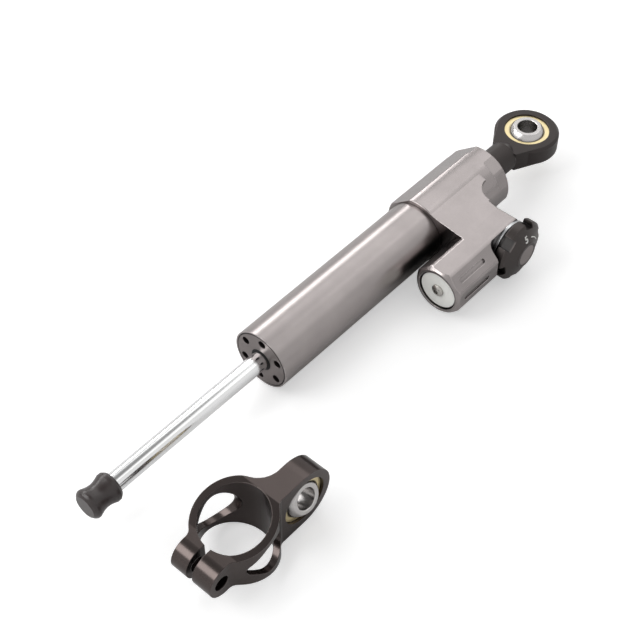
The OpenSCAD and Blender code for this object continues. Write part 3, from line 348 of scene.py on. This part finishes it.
def dial_marks_tree():
    """Geometry nodes that lay a numeral and an arc on a cone round the Y axis, facing -Y."""
    tree = bpy.data.node_groups.new("dial_marks", "GeometryNodeTree")
    for name, kind in (("Mark Radius", "Float"), ("Arc Start", "Float"), ("Arc Sweep", "Float"),
                       ("Line Width", "Float"), ("Numeral Size", "Float"), ("Numeral Edge", "Float"),
                       ("Print Height", "Float"), ("Cone Slope", "Float"), ("Cone Foot", "Vector"),
                       ("Print", "Material")):
        tree.interface.new_socket(name, in_out="INPUT", socket_type="NodeSocket" + kind)
    tree.interface.new_socket("Marks", in_out="OUTPUT", socket_type="NodeSocketGeometry")
    sizes = add_node(tree, "NodeGroupInput")

    arc = add_node(tree, "GeometryNodeCurveArc",
                   {"Resolution": ARC_POINTS, "Radius": sizes.outputs["Mark Radius"],
                    "Start Angle": sizes.outputs["Arc Start"], "Sweep Angle": sizes.outputs["Arc Sweep"]})
    stroke = add_node(tree, "GeometryNodeCurvePrimitiveQuadrilateral",
                      {"Width": sizes.outputs["Line Width"], "Height": sizes.outputs["Print Height"]})
    line = add_node(tree, "GeometryNodeCurveToMesh",
                    {"Curve": arc.outputs["Curve"], "Profile Curve": stroke.outputs["Curve"],
                     "Fill Caps": True})

    numeral = add_node(tree, "GeometryNodeStringToCurves",
                       {"String": NUMERAL, "Size": sizes.outputs["Numeral Size"]},
                       align_x="CENTER", align_y="MIDDLE")
    loose = add_node(tree, "GeometryNodeRealizeInstances", {"Geometry": numeral.outputs["Curve Instances"]})
    filled = add_node(tree, "GeometryNodeFillCurve", {"Curve": loose.outputs["Geometry"]})
    raised = add_node(tree, "GeometryNodeExtrudeMesh",
                      {"Mesh": filled.outputs["Mesh"], "Offset Scale": sizes.outputs["Print Height"]})
    rim = add_node(tree, "GeometryNodeCurvePrimitiveQuadrilateral",
                   {"Width": sizes.outputs["Numeral Edge"], "Height": sizes.outputs["Print Height"]})
    outline = add_node(tree, "GeometryNodeCurveToMesh",
                       {"Curve": loose.outputs["Geometry"], "Profile Curve": rim.outputs["Curve"]})
    bold = add_node(tree, "GeometryNodeJoinGeometry",
                    {"Geometry": [raised.outputs["Mesh"], outline.outputs["Mesh"]]})
    to_top = add_node(tree, "ShaderNodeCombineXYZ", {"Y": sizes.outputs["Mark Radius"]})
    moved = add_node(tree, "GeometryNodeTransform",
                     {"Geometry": bold.outputs["Geometry"], "Translation": to_top.outputs["Vector"]})
    both = add_node(tree, "GeometryNodeJoinGeometry",
                    {"Geometry": [line.outputs["Mesh"], moved.outputs["Geometry"]]})

    spot = add_node(tree, "GeometryNodeInputPosition")
    parts = add_node(tree, "ShaderNodeSeparateXYZ", {"Vector": spot.outputs["Position"]})
    level = add_node(tree, "ShaderNodeCombineXYZ", {"X": parts.outputs["X"], "Y": parts.outputs["Y"]})
    radius = add_node(tree, "ShaderNodeVectorMath", {0: level.outputs["Vector"]}, operation="LENGTH")
    drop = add_node(tree, "ShaderNodeMath",
                    {0: radius.outputs["Value"], 1: sizes.outputs["Cone Slope"]}, operation="MULTIPLY")
    sink = add_node(tree, "ShaderNodeMath", {0: drop.outputs[0], 1: parts.outputs["Z"]}, operation="SUBTRACT")
    upright = add_node(tree, "ShaderNodeCombineXYZ",
                       {"X": parts.outputs["X"], "Y": sink.outputs[0], "Z": parts.outputs["Y"]})
    seat = add_node(tree, "ShaderNodeVectorMath",
                    {0: upright.outputs["Vector"], 1: sizes.outputs["Cone Foot"]}, operation="ADD")
    laid = add_node(tree, "GeometryNodeSetPosition",
                    {"Geometry": both.outputs["Geometry"], "Position": seat.outputs["Vector"]})
    solid = add_node(tree, "GeometryNodeRealizeInstances", {"Geometry": laid.outputs["Geometry"]})
    painted = add_node(tree, "GeometryNodeSetMaterial",
                       {"Geometry": solid.outputs["Geometry"], "Material": sizes.outputs["Print"]})
    add_node(tree, "NodeGroupOutput", {"Marks": painted.outputs["Geometry"]})
    return tree


PRINT_WHITE = (0.92, 0.91, 0.88)
print_finish = satin_metal("white_dial_print", PRINT_WHITE, metallic=0.0, roughness=0.5,
                           edge=0.03 * MM, wear_and_highlight=0, corner_shade=0.2)
dial_sizes = {
    "Mark Radius": 8.2 * MM,
    "Arc Start": math.radians(22),
    "Arc Sweep": math.radians(44),
    "Line Width": 0.45 * MM,
    "Numeral Size": 4.2 * MM,
    "Numeral Edge": 0.28 * MM,
    "Print Height": 0.06 * MM,
    "Cone Slope": CONE_SLOPE,
    "Cone Foot": cone_foot,
    "Print": print_finish,
}
blank = bpy.data.objects.new("dial_blank", bpy.data.meshes.new("dial_blank"))
bpy.context.scene.collection.objects.link(blank)
dial_tree = dial_marks_tree()
dial_modifier = blank.modifiers.new("dial_marks", "NODES")
dial_modifier.node_group = dial_tree
for socket in dial_tree.interface.items_tree:
    if socket.in_out == "INPUT":
        dial_modifier[socket.identifier] = dial_sizes[socket.name]
dial_mesh = bpy.data.meshes.new_from_object(blank.evaluated_get(bpy.context.evaluated_depsgraph_get()))
bpy.data.objects.remove(blank)
dial_marks = bpy.data.objects.new("dial_marks", dial_mesh)
bpy.context.scene.collection.objects.link(dial_marks)
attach(dial_marks, "adjuster")


# Piston rod: ground steel bar, hard-chromed and polished, right through the cylinder from tip to eye.
# It slides in the two bushes and carries the piston.
CHROME = (0.92, 0.92, 0.92)
rod_finish = satin_metal("polished_chrome", CHROME, metallic=1.0, roughness=0.15, drift=0.02)
dress(rod_finish, "piston_rod")


# Rod tip cap: a smooth black bumper with a waist, moulded in hard plastic.
# It is pressed on the rod's free end.
BUMPER_BLACK = (0.044, 0.034, 0.033)
tip_finish = satin_metal("smooth_black_bumper", BUMPER_BLACK, metallic=0.0, roughness=0.3, edge=0.2 * MM)
dress(tip_finish, "rod_tip_cap")


# Wear band: a split ring of filled bearing plastic.
# It snaps into the piston's groove and runs on the liner.
BAND_BROWN = (0.12, 0.085, 0.045)
band_finish = satin_metal("filled_bearing_plastic", BAND_BROWN, metallic=0.0, roughness=0.55)
dress(band_finish, "piston_band")


# Rod end: a forged and machined aluminium eye, anodised satin black.
# It is screwed on the rod's rear end.
EYE_BLACK = (0.045, 0.037, 0.035)
eye_finish = satin_metal("black_anodised_eye", EYE_BLACK, metallic=0.5, roughness=0.42,
                         grain=0.4 * MM, edge=0.35 * MM)
dress(eye_finish, "rod_end")


# Races and balls of the two spherical joints: a turned brass ring round a ground steel ball.
# The rings are pressed into the rod's eye and the clamp's, with a ring of painted shade round their rims.
BRASS = (0.93, 0.78, 0.45)
for race, across in (("rod_end_race", (1, 1, 0)), ("clamp_race", (1, 0, 1))):
    race_low, race_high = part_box(race)
    race_finish = satin_metal("brass_" + race, BRASS, metallic=0.8, roughness=0.34,
                              corner_shade=0.25, shade_reach=0.6 * MM)
    seam_shade(race_finish, radius=(race_high.x - race_low.x) / 2, width=0.3 * MM, left=0.1,
              across=across, centre=(race_low + race_high) / 2)
    dress(race_finish, race)
BALL_STEEL = (0.60, 0.58, 0.57)
# Strong painted shade darkens the balls' bores and the corners round them.
ball_finish = satin_metal("ground_ball_steel", BALL_STEEL, metallic=1.0, roughness=0.24,
                          edge=0.15 * MM, corner_shade=0.95, shade_reach=9 * MM)
dress(ball_finish, "rod_end_ball", "clamp_ball")


# Clamp bracket: milled from thick plate and anodised a glossy black with a brown cast.
# Its split ring is pinched round the tube; here it lies loose beside the damper.
CLAMP_BLACK = (0.087, 0.071, 0.067)
clamp_finish = satin_metal("glossy_black_clamp", CLAMP_BLACK, metallic=0.92, roughness=0.2,
                           grain=0.5 * MM, edge=0.35 * MM, wear_and_highlight=0.35, shade_reach=6 * MM)
dress(clamp_finish, "clamp_bracket")


# Studio: a white paper floor that fades to white all round, under a pale dome that is darker overhead.
# A bright strip and a dark flag below it stand behind the part, a key lamp stands beyond the rod's tip,
# and two weak lamps fill in. The camera stands where the photograph was taken from.
FLOOR_HALF = 3.0
FLOOR_SHADE = (0.86, 0.86, 0.86, 1)
FLOOR_LIFT = 0.45
FADE_FROM, FADE_TO = 0.5, 1.1
SEEN_WHITE = 1.0
floor_mesh = bpy.data.meshes.new("studio_floor")
corners = [(-FLOOR_HALF, -FLOOR_HALF), (FLOOR_HALF, -FLOOR_HALF),
           (FLOOR_HALF, FLOOR_HALF), (-FLOOR_HALF, FLOOR_HALF)]
floor_mesh.from_pydata([(x, y, cad_low[2]) for x, y in corners], [], [(0, 1, 2, 3)])
floor = bpy.data.objects.new("studio_floor", floor_mesh)
bpy.context.scene.collection.objects.link(floor)
paper = bpy.data.materials.new("white_paper")
paper.use_nodes = True
paper_tree = paper.node_tree
paper_tree.nodes.clear()
paper_place = add_node(paper_tree, "ShaderNodeTexCoord")
paper_reach = add_node(paper_tree, "ShaderNodeVectorMath",
                       {0: paper_place.outputs["Object"]}, operation="LENGTH")
paper_fade = add_node(paper_tree, "ShaderNodeMapRange",
                      {"Value": paper_reach.outputs["Value"], "From Min": FADE_FROM, "From Max": FADE_TO,
                       "To Min": FLOOR_LIFT, "To Max": SEEN_WHITE})
paper_rays = add_node(paper_tree, "ShaderNodeLightPath")
paper_level = add_node(paper_tree, "ShaderNodeMath",
                       {0: paper_rays.outputs["Is Camera Ray"], 1: paper_fade.outputs["Result"]},
                       operation="MULTIPLY")
paper_lift = add_node(paper_tree, "ShaderNodeEmission", {"Strength": paper_level.outputs[0]})
paper_diffuse = add_node(paper_tree, "ShaderNodeBsdfDiffuse", {"Color": FLOOR_SHADE})
paper_add = add_node(paper_tree, "ShaderNodeAddShader",
                     {0: paper_diffuse.outputs[0], 1: paper_lift.outputs[0]})
add_node(paper_tree, "ShaderNodeOutputMaterial", {"Surface": paper_add.outputs[0]})
floor_mesh.materials.append(paper)

SKY_SOFT = 0.4
DOME_BRIGHT, DOME_DARK = 0.8, 0.16
DOME_FROM, DOME_TO = 0.81, 0.96
sky = bpy.data.worlds.new("studio_sky")
bpy.context.scene.world = sky
sky.use_nodes = True
sky_tree = sky.node_tree
sky_tree.nodes.clear()
sky_place = add_node(sky_tree, "ShaderNodeTexCoord")
sky_height = add_node(sky_tree, "ShaderNodeSeparateXYZ", {"Vector": sky_place.outputs["Generated"]})
sky_dome = add_node(sky_tree, "ShaderNodeMapRange",
                    {"Value": sky_height.outputs["Z"], "From Min": DOME_FROM, "From Max": DOME_TO,
                     "To Min": DOME_BRIGHT, "To Max": DOME_DARK})
sky_rays = add_node(sky_tree, "ShaderNodeLightPath")
sky_level = add_node(sky_tree, "ShaderNodeMix",
                     {"Factor": sky_rays.outputs["Is Glossy Ray"], "A": SKY_SOFT,
                      "B": sky_dome.outputs["Result"]})
sky_seen = add_node(sky_tree, "ShaderNodeMix",
                    {"Factor": sky_rays.outputs["Is Camera Ray"], "A": sky_level.outputs["Result"],
                     "B": SEEN_WHITE})
sky_light = add_node(sky_tree, "ShaderNodeBackground",
                     {"Color": (1, 1, 1, 1), "Strength": sky_seen.outputs["Result"]})
add_node(sky_tree, "ShaderNodeOutputWorld", {"Surface": sky_light.outputs[0]})

VIEW_TARGET = Vector((-0.1459, -0.0036, 0))


def soft_lamp(name, direction, distance, width, height, power):
    """A rectangular lamp that faces the part from the given direction."""
    data = bpy.data.lights.new(name, "AREA")
    data.shape = "RECTANGLE"
    data.size = width
    data.size_y = height
    data.energy = power
    lamp = bpy.data.objects.new(name, data)
    bpy.context.scene.collection.objects.link(lamp)
    toward = Vector(direction).normalized()
    lamp.location = VIEW_TARGET + toward * distance
    lamp.rotation_euler = toward.to_track_quat("Z", "Y").to_euler()


soft_lamp("back_strip", (0.05, 1.15, 0.66), distance=1.4, width=2.2, height=0.28, power=10.5)
soft_lamp("key_lamp", (-0.8, 0.5, 0.85), distance=1.3, width=0.7, height=0.7, power=5.5)
soft_lamp("overhead_lamp", (0.588, 0.17, 0.797), distance=1.2, width=1.0, height=0.6, power=1.6)
soft_lamp("front_fill", (0.49, -0.4, 0.75), distance=1.2, width=0.7, height=0.7, power=0.6)

FLAG_LEFT, FLAG_RIGHT = -1.0, 2.0
FLAG_BEHIND = 1.25
FLAG_LOW, FLAG_HIGH = 0.22, 0.36
FELT_BLACK = (0.02, 0.02, 0.02, 1)
FELT_ROUGHNESS = 0.9
flag_mesh = bpy.data.meshes.new("back_flag")
flag_corners = [(FLAG_LEFT, FLAG_LOW), (FLAG_RIGHT, FLAG_LOW),
                (FLAG_RIGHT, FLAG_HIGH), (FLAG_LEFT, FLAG_HIGH)]
flag_mesh.from_pydata([(x, FLAG_BEHIND, z) for x, z in flag_corners], [], [(0, 1, 2, 3)])
card = bpy.data.objects.new("back_flag", flag_mesh)
bpy.context.scene.collection.objects.link(card)
felt = bpy.data.materials.new("back_flag")
felt.use_nodes = True
felt_shader = felt.node_tree.nodes["Principled BSDF"]
felt_shader.inputs["Base Color"].default_value = FELT_BLACK
felt_shader.inputs["Roughness"].default_value = FELT_ROUGHNESS
flag_mesh.materials.append(felt)

VIEW_AZIMUTH = math.radians(-48.34)
VIEW_ELEVATION = math.radians(48.78)
VIEW_DISTANCE = 0.5678
FOCAL_PX = 1400
PHOTO_PX = 640
SENSOR_MM = 36
view_back = Vector((math.sin(VIEW_AZIMUTH) * math.cos(VIEW_ELEVATION),
                    -math.cos(VIEW_AZIMUTH) * math.cos(VIEW_ELEVATION),
                    math.sin(VIEW_ELEVATION)))
camera_data = bpy.data.cameras.new("photo_camera")
camera_data.sensor_width = SENSOR_MM
camera_data.lens = SENSOR_MM * FOCAL_PX / PHOTO_PX
camera_data.clip_start = 10 * MM
camera = bpy.data.objects.new("photo_camera", camera_data)
bpy.context.scene.collection.objects.link(camera)
camera.location = VIEW_TARGET + view_back * VIEW_DISTANCE
camera.rotation_euler = view_back.to_track_quat("Z", "Y").to_euler()
bpy.context.scene.camera = camera
bpy.context.scene.view_settings.view_transform = "Standard"
